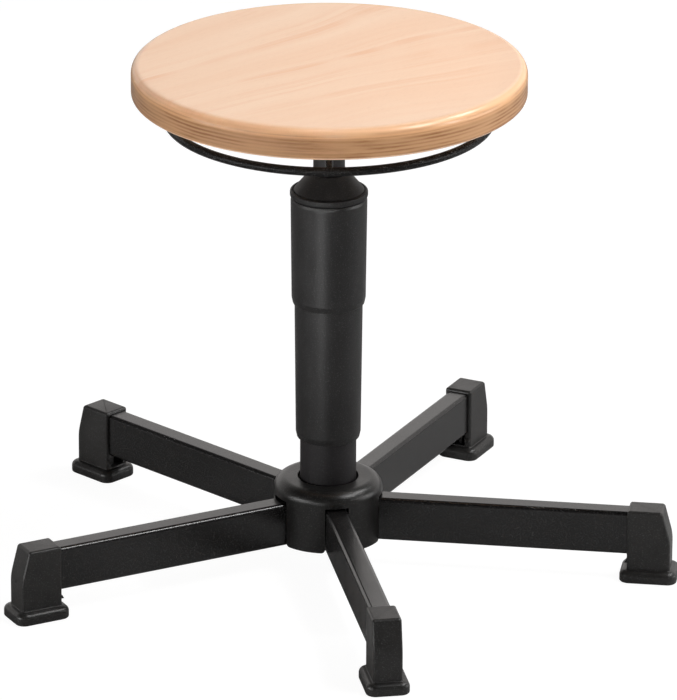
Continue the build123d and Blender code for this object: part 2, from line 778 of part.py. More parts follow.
# One foot on the +X axis: a drafted boot over the leg's end on a flared sole
with BuildPart() as foot_form:
    with BuildSketch(Plane.XY):
        with Locations(((boot_in_r + boot_out_r) / 2, 0)):
            RectangleRounded(
                boot_out_r - boot_in_r + 2 * sole_margin, boot_w + 2 * sole_margin, sole_corner_r
            )
    extrude(amount=sole_h)
    fillet(foot_form.edges().group_by(Axis.Z)[-1], sole_edge_r)
    fillet(foot_form.edges().group_by(Axis.Z)[0], sole_foot_r)
    with BuildSketch(Plane.XZ) as boot_side:
        with BuildLine():
            Polyline(
                (boot_in_r, sole_h / 2),
                (boot_in_r, boot_top_z),
                (boot_top_r, boot_top_z),
                (boot_out_r, boot_shoulder_z),
                (boot_out_r, sole_h / 2),
                close=True,
            )
        make_face()
        fillet(boot_side.vertices().group_by(Axis.X)[-1].sort_by(Axis.Y)[-1:], boot_shoulder_r)
    extrude(amount=boot_w / 2, both=True)
    corners = foot_form.edges().filter_by(lambda e: e.center().X > boot_top_r and e.center().Z > sole_h)
    fillet(corners.filter_by(lambda e: abs(e.center().Y) > boot_w / 2 - 0.1), boot_corner_r)
    fillet(foot_form.edges().group_by(Axis.Z)[-1], boot_top_edge_r)
    with BuildSketch(Plane.XZ):
        with BuildLine():
            nib_z = leg_bottom_z - nib_drop
            Polyline(
                (boot_in_r + nib_depth, nib_z + nib_h),
                (boot_in_r - nib_depth, nib_z),
                (boot_in_r + nib_depth, nib_z - nib_h),
                close=True,
            )
        make_face()
    extrude(amount=boot_w / 2 - joined_gap, both=True)
    with BuildSketch(Plane.YZ.offset(boot_in_r)):
        with Locations((0, leg_mid_z)):
            RectangleRounded(leg_w + 2 * joined_gap, leg_h + 2 * joined_gap, leg_corner_r + joined_gap)
    extrude(amount=boot_grip + joined_gap, mode=Mode.SUBTRACT)
    recess_z = sole_h + recess_sill
    recess_h = leg_mid_z - recess_z
    with BuildSketch(Plane.YZ.offset(boot_in_r - nib_depth)):
        with Locations((0, recess_z + recess_h / 2)):
            Rectangle(leg_w - 2 * leg_corner_r, recess_h)
    extrude(amount=nib_depth + boot_grip - recess_end_wall, mode=Mode.SUBTRACT)
    rib_h = leg_bottom_z - joined_gap - recess_z
    with BuildSketch(Plane.YZ.offset(boot_in_r + rib_setback)):
        with Locations((0, recess_z + rib_h / 2)):
            Rectangle(rib_w, rib_h)
    extrude(amount=boot_grip - recess_end_wall - rib_setback)

# The five legs and feet, turned into place
for number in range(leg_count):
    with BuildPart() as leg:
        with Locations(Rotation(0, 0, leg_phase + 360 / leg_count * number)):
            add(leg_form.part)
    leg.part.label = f"leg_{number + 1}"
    export_step(leg.part, f"parts/leg_{number + 1}.step")
    with BuildPart() as foot:
        with Locations(Rotation(0, 0, leg_phase + 360 / leg_count * number)):
            add(foot_form.part)
    foot.part.label = f"foot_{number + 1}"
    export_step(foot.part, f"parts/foot_{number + 1}.step")
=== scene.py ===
"""Swivel stool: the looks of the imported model, laid out as a Blender add-on."""

from math import atan, cos, hypot, pi, radians, sin, tan

import bmesh
import bpy
from bpy.props import FloatProperty, FloatVectorProperty, IntProperty, PointerProperty
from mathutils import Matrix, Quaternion, Vector


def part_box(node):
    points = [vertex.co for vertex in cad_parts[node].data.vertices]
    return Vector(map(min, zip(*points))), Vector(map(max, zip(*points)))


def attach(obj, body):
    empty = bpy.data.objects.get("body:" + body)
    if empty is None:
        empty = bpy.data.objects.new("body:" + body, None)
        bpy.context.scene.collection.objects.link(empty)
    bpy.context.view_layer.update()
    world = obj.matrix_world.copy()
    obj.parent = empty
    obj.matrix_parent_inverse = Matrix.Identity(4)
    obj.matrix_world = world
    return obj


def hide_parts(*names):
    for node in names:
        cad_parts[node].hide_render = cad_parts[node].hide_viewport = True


bl_info = {
    "name": "Swivel stool",
    "version": (1, 0, 0),
    "blender": (4, 5, 0),
    "location": "View3D > Sidebar > Stool",
    "description": "Models and finishes a swivel stool over its packed CAD frame",
    "category": "Object",
}

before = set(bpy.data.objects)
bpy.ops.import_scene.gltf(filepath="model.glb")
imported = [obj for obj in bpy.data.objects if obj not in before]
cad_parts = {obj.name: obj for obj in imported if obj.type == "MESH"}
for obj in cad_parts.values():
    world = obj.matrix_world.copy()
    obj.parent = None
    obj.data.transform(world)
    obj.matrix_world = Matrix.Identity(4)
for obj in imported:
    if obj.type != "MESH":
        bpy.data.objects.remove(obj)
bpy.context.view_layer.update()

MM = 0.001
# Points within MERGE become one, and a point within NEAR of a place counts as there
MERGE, NEAR = 0.002 * MM, 0.01 * MM
LEG_NODES = [f"leg_{n}" for n in range(1, 6)]
FOOT_NODES = [f"foot_{n}" for n in range(1, 6)]
SEAT_LOW, SEAT_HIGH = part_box("seat")
RING_LOW, RING_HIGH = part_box("release_ring")
CAP_LOW, CAP_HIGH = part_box("cover_cap")
UPPER_LOW, UPPER_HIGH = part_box("upper_sleeve")
MIDDLE_LOW, MIDDLE_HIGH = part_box("middle_sleeve")
HUB_LOW, HUB_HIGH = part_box("hub_cover")
LEG_LOW, LEG_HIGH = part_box("leg_1")
LEG_END = 296 * MM
FOOT_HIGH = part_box("foot_1")[1]
CORE_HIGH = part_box("hub_core")[1]


def linear(code):
    """Turn an sRGB hex colour into the linear values that Blender's sockets take."""
    parts = [int(code[i : i + 2], 16) / 255 for i in (1, 3, 5)]
    return tuple(p / 12.92 if p <= 0.04045 else ((p + 0.055) / 1.055) ** 2.4 for p in parts) + (1.0,)


def length(name, description, default):
    """A size that a user may change, in metres."""
    return FloatProperty(
        name=name, description=description, default=default, min=0.0, precision=4, unit="LENGTH"
    )


def colour(name, description, code):
    """A colour that a user may change, with alpha."""
    return FloatVectorProperty(
        name=name, description=description, default=linear(code), size=4, min=0.0, max=1.0, subtype="COLOR"
    )


class StoolSizes(bpy.types.PropertyGroup):
    """Sizes of the modelled pieces."""

    seat_radius: length("Seat radius", "Radius of the round board", SEAT_HIGH.x)
    seat_top_edge: length("Seat top edge", "Rounding of the board's upper edge", 0.008)
    seat_low_edge: length("Seat lower edge", "Rounding of the board's lower edge", 0.004)
    ring_bar: length("Ring bar", "Thickness of the release ring's bar", RING_HIGH.z - RING_LOW.z)
    spoke_bar: length("Spoke bar", "Thickness of the ring's spokes", 0.007)
    spoke_bend: length("Spoke bend", "Bend radius in the middle of a spoke's bar", 0.012)
    cover_wall: length("Cover wall", "Wall of the cover sleeves", 0.0016)
    cover_lip: length("Cover lip", "Height of the rounded lip at a sleeve's lower end", 0.0055)
    hub_edge: length("Hub edge", "Rounding of the hub cover's upper edge", 0.011)
    hub_wall: length("Hub wall", "Wall of the hub cover", 0.0026)
    leg_width: length("Leg width", "Width of the rectangular leg tube", 0.020)
    leg_wall: length("Leg wall", "Wall of the leg tube", 0.0015)
    leg_corner: length("Leg corner", "Outer corner radius of the leg tube", 0.0035)
    leg_phase: FloatProperty(
        name="Leg phase",
        description="Turn of the first leg about the column",
        default=radians(-8.25),
        subtype="ANGLE",
    )
    leg_count: IntProperty(name="Legs", description="Legs and feet round the hub", default=5, min=3, max=5)
    sole_height: length("Sole height", "Height of the foot's flared sole", 0.011)
    sole_margin: length("Sole margin", "How far the sole stands out round the boot", 0.0063)


class StoolColours(bpy.types.PropertyGroup):
    """Colours of the finishes."""

    beech: colour("Beech", "Face veneer between the streaks", "#fdd6b5")
    beech_streak: colour("Beech streak", "Pinkish streaks along the grain", "#f5bd94")
    beech_edge: colour("Beech edge", "Veneers cut along the grain at the board's edge", "#deab7d")
    beech_end: colour("Beech end grain", "Veneers cut across the grain at the board's edge", "#a9764d")
    beech_glue: colour("Glue line", "Dark lines between the veneers", "#94633f")
    powder_black: colour("Powder coat", "Black powder coat of the legs and the ring", "#131212")
    tube_black: colour("Tube lacquer", "Black lacquer of the column and the gas tube", "#171416")
    cover_black: colour("Cover plastic", "Black plastic of the telescopic cover", "#171616")
    hub_black: colour("Hub plastic", "Black plastic of the hub cover", "#131211")
    foot_black: colour("Foot plastic", "Black plastic of the feet", "#242322")
    zinc: colour("Zinc", "Zinc-plated steel", "#b9bcc0")
    brass: colour("Brass", "Turned brass", "#c9a45c")
    acetal: colour("Acetal", "Natural acetal", "#dcdcd6")
    rubber: colour("Rubber", "Black rubber of the bumper", "#1a1a1a")
    floor: colour("Floor", "Pale studio floor, as it lights the stool", "#e2e2e2")
    # A darker copy of the floor for glossy rays: painted shade in the floor's reflection
    floor_painted_shade: colour("Dim floor", "The floor as glossy black surfaces show it", "#bcbcbc")


# Materials

# A MapRange takes its value, its range and its result's range as sockets 0 to 4. A colour Mix takes its share
# as socket 0 and its two colours as 6 and 7, and gives the mixed colour as output 2.

GRAIN_TURN = radians(45)
# Where the face's streaks lie in groups across the board, from 0 to 1, and how strong they are there
STREAK_GROUPS = (
    (0.22, 0.1), (0.28, 0.6), (0.34, 0.1), (0.40, 0.7), (0.46, 0.2), (0.52, 0.9), (0.58, 0.15),
    (0.68, 0.05), (0.72, 0.7), (0.745, 1.0), (0.78, 0.5), (0.81, 0.05), (0.90, 0.35),
)


def add(tree, kind, sockets=None, out=0, **settings):
    """Add a node with its settings, set or link its sockets by name or number, and give one output.

    Where out is None, it gives the node.
    """
    node = tree.nodes.new("ShaderNode" + kind)
    for key, value in settings.items():
        setattr(node, key, value)
    for key, value in (sockets or {}).items():
        if isinstance(value, bpy.types.NodeSocket):
            tree.links.new(value, node.inputs[key])
        else:
            node.inputs[key].default_value = value
    return node if out is None else node.outputs[out]


def begin(name, **constants):
    """A new material with its tree, its shader and the piece's own coordinates."""
    material = bpy.data.materials.new(name)
    material.use_nodes = True
    tree = material.node_tree
    shader = tree.nodes["Principled BSDF"]
    for key, value in constants.items():
        shader.inputs[key.replace("_", " ")].default_value = value
    return material, tree, shader, add(tree, "TexCoord", out="Object")


def join(tree, shader, tone, gloss, bump):
    """Link a material's colour, roughness and bump to its shader."""
    for socket, source in (("Base Color", tone), ("Roughness", gloss), ("Normal", bump)):
        tree.links.new(source, shader.inputs[socket])


def drawn_out(tree, place, size, detail, rough=0.5, **settings):
    """A noise pattern whose patches have about the given sizes in millimetres."""
    spread = add(tree, "Mapping", {"Vector": place, "Scale": [1 / (each * MM) for each in size]})
    sockets = {"Vector": spread, "Scale": 1.0, "Detail": detail, "Roughness": rough}
    return add(tree, "TexNoise", sockets, **settings)


def beech_face(tree, tint, place):
    """The face veneer's colour, and the soft streaks and the flecks in it."""
    bend_by, straight_at, fan_rate = 12 * MM, 83 * MM, 1.5
    grain = add(tree, "Mapping", {"Vector": place, "Rotation": (0, 0, -GRAIN_TURN)})
    bend = drawn_out(tree, grain, (160, 110, 1000), 1.0, normalize=False)
    # The streaks fan out: straight 83 mm off the middle, and more and more aslant away from there
    split = add(tree, "SeparateXYZ", {0: grain}, out=None).outputs
    off = add(tree, "Math", {0: straight_at, 1: split[1]}, operation="SUBTRACT")
    slant = add(tree, "Math", {0: split[0], 1: fan_rate}, operation="MULTIPLY")
    fan = add(tree, "Math", {0: slant, 1: off, 2: split[1]}, operation="MULTIPLY_ADD")
    fan = add(tree, "Math", {0: bend, 1: bend_by, 2: fan}, operation="MULTIPLY_ADD")
    drawn = add(tree, "CombineXYZ", {0: split[0], 1: fan, 2: split[2]})
    soft = drawn_out(tree, drawn, (300, 30, 1000), 2.0)
    line = drawn_out(tree, drawn, (420, 6.5, 1000), 3.0, rough=0.6)
    # They lie in groups across the board, each broken off here and there
    across = add(tree, "MapRange", {0: fan, 1: -SEAT_HIGH.x, 2: SEAT_HIGH.x})
    groups = add(tree, "ValToRGB", {0: across}, out=None)
    stops = groups.color_ramp.elements
    for spot, share in STREAK_GROUPS:
        stops.new(spot).color = (share, share, share, 1)
    stops[0].color = stops[-1].color = (0.2, 0.2, 0.2, 1)
    patch = add(tree, "TexNoise", {"Vector": grain, "Scale": 1 / (60 * MM), "Detail": 1.0})
    fleck = drawn_out(tree, grain, (6, 1.2, 20), 1.0)
    soft_share = add(tree, "MapRange", {0: soft, 1: 0.36, 2: 0.68, 3: 0.0, 4: 0.28})
    line_share = add(tree, "MapRange", {0: line, 1: 0.42, 2: 0.62, 3: 0.0, 4: 0.85})
    patch_share = add(tree, "MapRange", {0: patch, 1: 0.36, 2: 0.56, 3: 0.35, 4: 1.0})
    patch_share = add(tree, "Math", {0: patch_share, 1: groups.outputs[0]}, operation="MULTIPLY")
    line_share = add(tree, "Math", {0: line_share, 1: patch_share}, operation="MULTIPLY")
    streaks = add(tree, "Math", {0: soft_share, 1: line_share}, operation="ADD", use_clamp=True)
    flecks = add(tree, "MapRange", {0: fleck, 1: 0.55, 2: 0.78, 3: 0.0, 4: 0.07})
    face = add(tree, "Mix", {0: streaks, 6: tint.beech, 7: tint.beech_streak}, out=2, data_type="RGBA")
    face = add(tree, "Mix", {0: flecks, 6: face, 7: tint.beech_end}, out=2, data_type="RGBA")
    return face, soft, fleck


def plywood_edge(tree, tint, place, depth):
    """The colour of the cut veneers at the board's edge, by their depth under the top, with painted light and
    shade.
    """
    veneer, wave_by = 1.65 * MM, 0.4 * MM
    wave = drawn_out(tree, place, (60, 60, 12), 2.0)
    sway = add(tree, "MapRange", {0: wave, 1: 0.3, 2: 0.7, 3: -wave_by, 4: wave_by})
    swayed = add(tree, "Math", {0: depth, 1: sway}, operation="ADD")
    count = add(tree, "Math", {0: swayed, 1: veneer}, operation="DIVIDE")
    number = add(tree, "Math", {0: count}, operation="FLOOR")
    within = add(tree, "Math", {0: count}, operation="FRACT")
    pair = add(tree, "Math", {0: count, 1: 1.0}, operation="PINGPONG")
    odd = add(tree, "MapRange", {0: pair, 1: 0.3, 2: 0.7}, interpolation_type="SMOOTHSTEP")
    # A veneer shows its end grain where the edge faces along its grain, and every second one lies crosswise
    flat = add(tree, "VectorMath", {0: place, 1: (1, 1, 0)}, operation="MULTIPLY")
    outward = add(tree, "VectorMath", {0: flat}, operation="NORMALIZE")
    grain = (cos(GRAIN_TURN), sin(GRAIN_TURN), 0)
    along = add(tree, "VectorMath", {0: outward, 1: grain}, out="Value", operation="DOT_PRODUCT")
    along = add(tree, "Math", {0: along, 1: along}, operation="MULTIPLY")
    across = add(tree, "Math", {0: 1.0, 1: along}, operation="SUBTRACT")
    end_grain = add(tree, "Mix", {0: odd, 2: along, 3: across})
    luck = add(tree, "TexWhiteNoise", {"W": number}, out="Value", noise_dimensions="1D")
    luck = add(tree, "MapRange", {0: luck, 3: -0.40, 4: 0.40})
    end_grain = add(tree, "Math", {0: end_grain, 1: luck}, operation="ADD", use_clamp=True)
    fibre = drawn_out(tree, place, (8, 8, 0.6), 2.0)
    fibre_share = add(tree, "MapRange", {0: fibre, 1: 0.35, 2: 0.75, 3: -0.18, 4: 0.18})
    end_grain = add(tree, "Math", {0: end_grain, 1: fibre_share}, operation="ADD", use_clamp=True)
    # The rounding cuts the upper plies aslant, which makes them paler and their lines fainter
    below = add(tree, "MapRange", {0: depth, 1: 1 * MM, 2: 11 * MM, 3: 0.25, 4: 1.0})
    fade = drawn_out(tree, place, (45, 45, 8), 1.0)
    fade = add(tree, "MapRange", {0: fade, 1: 0.35, 2: 0.62, 3: 0.25, 4: 1.0})
    below = add(tree, "Math", {0: below, 1: fade}, operation="MULTIPLY")
    end_grain = add(tree, "Math", {0: end_grain, 1: below}, operation="MULTIPLY")
    edge = add(tree, "Mix", {0: end_grain, 6: tint.beech_edge, 7: tint.beech_end}, out=2, data_type="RGBA")
    # Painted light and shade: the edge is lighter under the top rounding and darker towards the bottom, as
    # under light from above
    painted_light_and_shade = add(tree, "MapRange", {0: depth, 1: 2 * MM, 2: 12.5 * MM, 3: 1.22, 4: 0.74})
    edge = add(tree, "VectorMath", {0: edge, "Scale": painted_light_and_shade}, operation="SCALE")
    near_glue = add(tree, "Math", {0: within, 1: 0.5}, operation="SUBTRACT")
    near_glue = add(tree, "Math", {0: near_glue}, operation="ABSOLUTE")
    glue_share = add(tree, "MapRange", {0: near_glue, 1: 0.36, 2: 0.49, 3: 0.0, 4: 0.25})
    glue_share = add(tree, "Math", {0: glue_share, 1: below}, operation="MULTIPLY")
    return add(tree, "Mix", {0: glue_share, 6: edge, 7: tint.beech_glue}, out=2, data_type="RGBA")


def lacquered_beech_plywood(tint):
    """Crosswise beech veneers under satin lacquer."""
    # Rotary-cut veneers show long soft pinkish streaks and fine dark flecks on the face. At the edge pale and
    # brown bands take turns, because every second veneer shows its end grain. The lacquer adds a soft sheen.
    material, tree, shader, place = begin(
        "lacquered_beech_plywood", Coat_Weight=0.7, Coat_Roughness=0.20, Coat_IOR=1.5, Specular_IOR_Level=0.05
    )
    thick = SEAT_HIGH.z - SEAT_LOW.z
    height = add(tree, "SeparateXYZ", {0: place}, out=2)
    depth = add(tree, "Math", {0: SEAT_HIGH.z, 1: height}, operation="SUBTRACT")
    face, soft, fleck = beech_face(tree, tint, place)
    edge = plywood_edge(tree, tint, place, depth)
    # The face veneer ends where the top rounding starts. The next plies, cut aslant, keep some of its colour.
    on_top = add(tree, "MapRange", {0: depth, 1: 0.3 * MM, 2: 1.6 * MM, 3: 1.0, 4: 0.0})
    aslant = add(tree, "MapRange", {0: depth, 1: 0.8 * MM, 2: 7 * MM, 3: 0.45, 4: 0.0})
    on_bottom = add(tree, "MapRange", {0: depth, 1: thick - 2.6 * MM, 2: thick - 1.5 * MM})
    on_top = add(tree, "Math", {0: on_top, 1: aslant}, operation="MAXIMUM")
    on_face = add(tree, "Math", {0: on_top, 1: on_bottom}, operation="MAXIMUM")
    wood = add(tree, "Mix", {0: on_face, 6: edge, 7: face}, out=2, data_type="RGBA")
    gloss = add(tree, "MapRange", {0: soft, 1: 0.3, 2: 0.7, 3: 0.42, 4: 0.50})
    bump = add(tree, "Bump", {"Strength": 0.12, "Distance": 0.06 * MM, "Height": fleck})
    join(tree, shader, wood, gloss, bump)
    return material


# Black finishes: the colour's name, the roughness, the grain, relief and clouds in millimetres, how pale the
# painted glint specks are, and the IOR
BLACK_FINISHES = {
    # Powder baked on steel melts to a satin skin with fine orange peel, drawn at 0.9 mm so that it shows
    "powder_coated_steel": ("powder_black", 0.19, 0.9, 0.09, 40, 0.055, 1.58),
    # The same powder lies coarser on a thin bar, and its relief glints. Painted glint specks are added to
    # that, drawn at 1 mm so that they show
    "powder_coated_bar": ("powder_black", 0.22, 1.0, 0.30, 30, 0.07, 1.25),
    # Lacquer sprayed on drawn tube is smoother than powder and keeps a faint warm tone
    "lacquered_steel_tube": ("tube_black", 0.50, 1.2, 0.04, 50, 0.02, 1.42),
    # Spark erosion of the sleeves' mould leaves an even fine matte skin of about 0.2 mm, drawn at 1 mm
    "matte_polypropylene": ("cover_black", 0.40, 1.0, 0.11, 35, 0.035, 1.45),
    # The small cap comes from a rougher mould than the sleeves and swallows more light
    "dull_polypropylene": ("cover_black", 0.55, 1.0, 0.12, 35, 0.03, 1.38),
    # The hub cover's etched mould gives a leathery grain whose relief glints, with painted glint specks,
    # drawn at 0.9 mm
    "grained_polypropylene": ("hub_black", 0.32, 0.9, 0.14, 30, 0.05, 1.49),
    # Glass-filled polyamide comes out of the feet's polished mould satin, with faint flow clouds
    "satin_polyamide": ("foot_black", 0.36, 1.0, 0.12, 18, 0.06, 1.53),
    # Moulded rubber is dull, with a bloom of grey in soft patches
    "moulded_rubber": ("rubber", 0.75, 0.8, 0.05, 12, 0.02, 1.5),
}


def black_finish(tint, name):
    """A black coated or moulded surface, with painted glint specks."""
    key, rough, grain, relief, cloud, painted_glint, ior = BLACK_FINISHES[name]
    material, tree, shader, place = begin(name, IOR=ior)
    fine = add(tree, "TexNoise", {"Vector": place, "Scale": 1 / (grain * MM), "Detail": 2.0})
    broad = add(tree, "TexNoise", {"Vector": place, "Scale": 1 / (cloud * MM), "Detail": 3.0})
    dust = add(tree, "MapRange", {0: broad, 1: 0.35, 2: 0.75, 3: 0.85, 4: 1.35})
    shade = add(tree, "MapRange", {0: fine, 1: 0.3, 2: 0.7, 3: 0.85, 4: 1.15})
    shade = add(tree, "Math", {0: shade, 1: dust}, operation="MULTIPLY")
    tone = add(tree, "VectorMath", {0: getattr(tint, key)[:3], "Scale": shade}, operation="SCALE")
    # Pale specks in the colour are a painted glint, standing in for light catching the grain
    painted_glint_mask = add(tree, "MapRange", {0: fine, 1: 0.58, 2: 0.70})
    tone = add(tree, "Mix", {0: painted_glint_mask, 6: tone, 7: (painted_glint, painted_glint, painted_glint, 1)}, out=2, data_type="RGBA")
    gloss = add(tree, "MapRange", {0: broad, 1: 0.3, 2: 0.7, 3: rough - 0.05, 4: rough + 0.05})
    bump = add(tree, "Bump", {"Strength": 1.0, "Distance": relief * MM, "Height": fine})
    join(tree, shader, tone, gloss, bump)
    return material


def worked_metal(name, tint, rough, lines, spread):
    """A bare metal with tool lines round the column's axis, so many millimetres apart."""
    material, tree, shader, place = begin(name, Metallic=1.0)
    line = drawn_out(tree, place, (20, 20, lines), 3.0)
    cloud = add(tree, "TexNoise", {"Vector": place, "Scale": 1 / (12 * MM), "Detail": 2.0})
    shade = add(tree, "MapRange", {0: cloud, 1: 0.3, 2: 0.7, 3: 1 - spread, 4: 1.0})
    tone = add(tree, "VectorMath", {0: tint[:3], "Scale": shade}, operation="SCALE")
    gloss = add(tree, "MapRange", {0: line, 1: 0.3, 2: 0.7, 3: rough - 0.08, 4: rough + 0.08})
    bump = add(tree, "Bump", {"Strength": 0.15, "Distance": 0.1 * MM, "Height": line})
    join(tree, shader, tone, gloss, bump)
    return material


def zinc_plate(tint):
    """Zinc-plated steel."""
    # Zinc plating is a bluish bright grey with soft clouds.
    return worked_metal("zinc_plated_steel", tint.zinc, rough=0.34, lines=0.5, spread=0.18)


def turned_brass(tint):
    """Turned brass."""
    # A lathe leaves fine rings, drawn at 0.4 mm so that they show.
    return worked_metal("turned_brass", tint.brass, rough=0.30, lines=0.4, spread=0.10)


def natural_acetal(tint):
    """Natural acetal, moulded."""
    # Acetal is milky and slightly waxy, with faint flow clouds.
    waxy = (2 * MM, 2 * MM, 2 * MM)
    material, tree, shader, place = begin(
        "natural_acetal", IOR=1.48, Subsurface_Weight=0.1, Subsurface_Radius=waxy
    )
    cloud = add(tree, "TexNoise", {"Vector": place, "Scale": 1 / (10 * MM), "Detail": 3.0})
    shade = add(tree, "MapRange", {0: cloud, 1: 0.3, 2: 0.7, 3: 0.92, 4: 1.0})
    tone = add(tree, "VectorMath", {0: tint.acetal[:3], "Scale": shade}, operation="SCALE")
    gloss = add(tree, "MapRange", {0: cloud, 1: 0.3, 2: 0.7, 3: 0.35, 4: 0.45})
    bump = add(tree, "Bump", {"Strength": 0.05, "Distance": 0.1 * MM, "Height": cloud})
    join(tree, shader, tone, gloss, bump)
    return material


# Modelling by hand tools


def clear():
    """Leave edit mode and deselect everything."""
    if bpy.context.mode != "OBJECT":
        bpy.ops.object.mode_set(mode="OBJECT")
    bpy.ops.object.select_all(action="DESELECT")


def named(name):
    """Name the primitive just added and put its place into its mesh."""
    piece = bpy.context.active_object
    piece.name = name
    piece.data.name = name
    bpy.ops.object.transform_apply(location=True, rotation=True, scale=True)
    return piece


def hold(piece, mode="OBJECT"):
    """Make a piece the only one selected, in the given mode."""
    clear()
    piece.select_set(True)
    bpy.context.view_layer.objects.active = piece
    if mode == "EDIT":
        bpy.ops.object.mode_set(mode="EDIT")


def choose(kind, test):
    """Select the edited piece's vertices, edges or faces whose middle passes the test."""
    bpy.ops.mesh.select_mode(type=kind)
    bpy.ops.mesh.select_all(action="DESELECT")
    data = bpy.context.edit_object.data
    mesh = bmesh.from_edit_mesh(data)
    chosen = 0
    for part in {"VERT": mesh.verts, "EDGE": mesh.edges, "FACE": mesh.faces}[kind]:
        corners = [part] if kind == "VERT" else part.verts
        middle = sum((corner.co for corner in corners), Vector()) / len(corners)
        if test(middle, part):
            part.select_set(True)
            chosen += 1
    mesh.select_flush_mode()
    bmesh.update_edit_mesh(data)
    if not chosen:
        raise RuntimeError(f"nothing to select on {data.name}")


def extrude(x=0.0, y=0.0, z=0.0):
    """Extrude what is selected."""
    bpy.ops.mesh.extrude_region_move(TRANSFORM_OT_translate={"value": (x, y, z)})


def bevel(width, segments, affect="EDGES"):
    """Round what is selected."""
    bpy.ops.mesh.bevel(offset=width, segments=segments, affect=affect, clamp_overlap=False)


def close_seams():
    """Merge the edited piece's doubles and turn its faces outwards."""
    bpy.ops.mesh.select_all(action="SELECT")
    bpy.ops.mesh.remove_doubles(threshold=MERGE)
    bpy.ops.mesh.normals_make_consistent(inside=False)
    bpy.ops.mesh.select_all(action="DESELECT")


def modify(piece, kind, **settings):
    """Add a modifier, set it and apply it."""
    hold(piece)
    bpy.ops.object.modifier_add(type=kind)
    modifier = piece.modifiers[-1]
    for key, value in settings.items():
        setattr(modifier, key, value)
    bpy.ops.object.modifier_apply(modifier=modifier.name)


def cut(piece, tool, operation="DIFFERENCE"):
    """Cut a tool out of a piece, or join it on, and drop the tool."""
    modify(piece, "BOOLEAN", object=tool, operation=operation, solver="EXACT")
    bpy.data.objects.remove(tool)


def draw(name, corners, upright):
    """Draw an outline point by point from one vertex, and round its corners.

    Corners are (across, height, rounding); across runs along X, or along Y where upright is "Y".
    """
    clear()
    bpy.ops.mesh.primitive_plane_add(size=0.01, location=(0, 0, 0))
    piece = named(name)
    hold(piece, "EDIT")
    bpy.ops.mesh.select_mode(type="VERT")
    bpy.ops.mesh.select_all(action="SELECT")
    bpy.ops.mesh.merge(type="CENTER")
    spots = [Vector((a, 0, h)) if upright == "X" else Vector((0, a, h)) for a, h, _ in corners]
    bpy.ops.transform.translate(value=spots[0])
    for here, there in zip(spots, spots[1:]):
        extrude(*(there - here))
    bpy.ops.mesh.select_all(action="SELECT")
    bpy.ops.mesh.remove_doubles(threshold=MERGE)
    if (spots[0] - spots[-1]).length < MERGE:
        spots.pop()
    for i, spot in enumerate(spots):
        rounding = corners[i][2]
        if rounding:
            bend = (spot - spots[i - 1]).angle(spots[(i + 1) % len(spots)] - spot)
            choose("VERT", lambda middle, part, spot=spot: (middle - spot).length < NEAR / 2)
            bevel(rounding * tan(bend / 2), max(3, min(12, int(rounding / (0.4 * MM)) + 3)), "VERTICES")
    return piece


def turned(name, corners, steps=160):
    """Spin an outline round the column's axis."""
    piece = draw(name, corners, "X")
    bpy.ops.mesh.select_mode(type="EDGE")
    bpy.ops.mesh.select_all(action="SELECT")
    bpy.ops.mesh.spin(steps=steps, angle=2 * pi, center=(0, 0, 0), axis=(0, 0, 1))
    close_seams()
    clear()
    return piece


def upright_box(half, low, high, low_round=0, high_round=0):
    """A box's outline for barred, with its lower and its upper corners rounded."""
    return [
        (half, high, high_round),
        (half, low, low_round),
        (-half, low, low_round),
        (-half, high, high_round),
        (half, high, 0),
    ]


def barred(name, corners, start, end):
    """Fill an upright outline and extrude it along X."""
    piece = draw(name, corners, "Y")
    bpy.ops.mesh.select_mode(type="EDGE")
    bpy.ops.mesh.select_all(action="SELECT")
    bpy.ops.mesh.edge_face_add()
    bpy.ops.transform.translate(value=(start, 0, 0))
    extrude(x=end - start)
    close_seams()
    clear()
    return piece


def turn_copy(piece, name, angle):
    """Copy a piece with its own mesh, turned about the column's axis."""
    hold(piece)
    bpy.ops.object.duplicate()
    copy = bpy.context.active_object
    copy.name = name
    copy.data.name = name
    copy.rotation_euler.z = angle
    bpy.ops.object.transform_apply(location=True, rotation=True, scale=True)
    return copy


def done(piece, material, body, slot, *nodes, angle=32):
    """Smooth a piece, give it its finish and set it on its body."""
    hold(piece)
    bpy.ops.object.shade_smooth_by_angle(angle=radians(angle))
    modify(piece, "WEIGHTED_NORMAL", keep_sharp=True)
    piece.data.materials.clear()
    piece.data.materials.append(material)
    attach(piece, body)
    if nodes:
        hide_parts(*nodes)
    return piece


def leg_turn(size, n):
    """The turn of leg number n about the column, counted from 0."""
    return size.leg_phase + n * 2 * pi / size.leg_count


def copy_round(size, model, material, slot, nodes):
    """Copy a modelled piece to every leg's place, finish the copies and drop the model."""
    for n in range(size.leg_count):
        copy = turn_copy(model, f"{model.name}_{n + 1}", leg_turn(size, n))
        done(copy, material, "base", slot, nodes[n])
    bpy.data.objects.remove(model)


def finish_nodes(material, *names):
    """Give CAD nodes a finish in their own material slots."""
    for name in names:
        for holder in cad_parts[name].material_slots:
            holder.material = material


# Pieces


class STOOL_OT_seat(bpy.types.Operator):
    """Model the round plywood board."""

    bl_idname = "stool.seat"
    bl_label = "Seat board"

    def execute(self, context):
        size, tint = context.scene.stool_sizes, context.scene.stool_colours
        r, low, high = size.seat_radius, SEAT_LOW.z, SEAT_HIGH.z
        board = turned(
            "seat_board",
            [(0, low, 0), (r, low, size.seat_low_edge), (r, high, size.seat_top_edge), (0, high, 0)],
            steps=224,
        )
        done(board, lacquered_beech_plywood(tint), "seat", "seat_plywood", "seat")
        return {"FINISHED"}


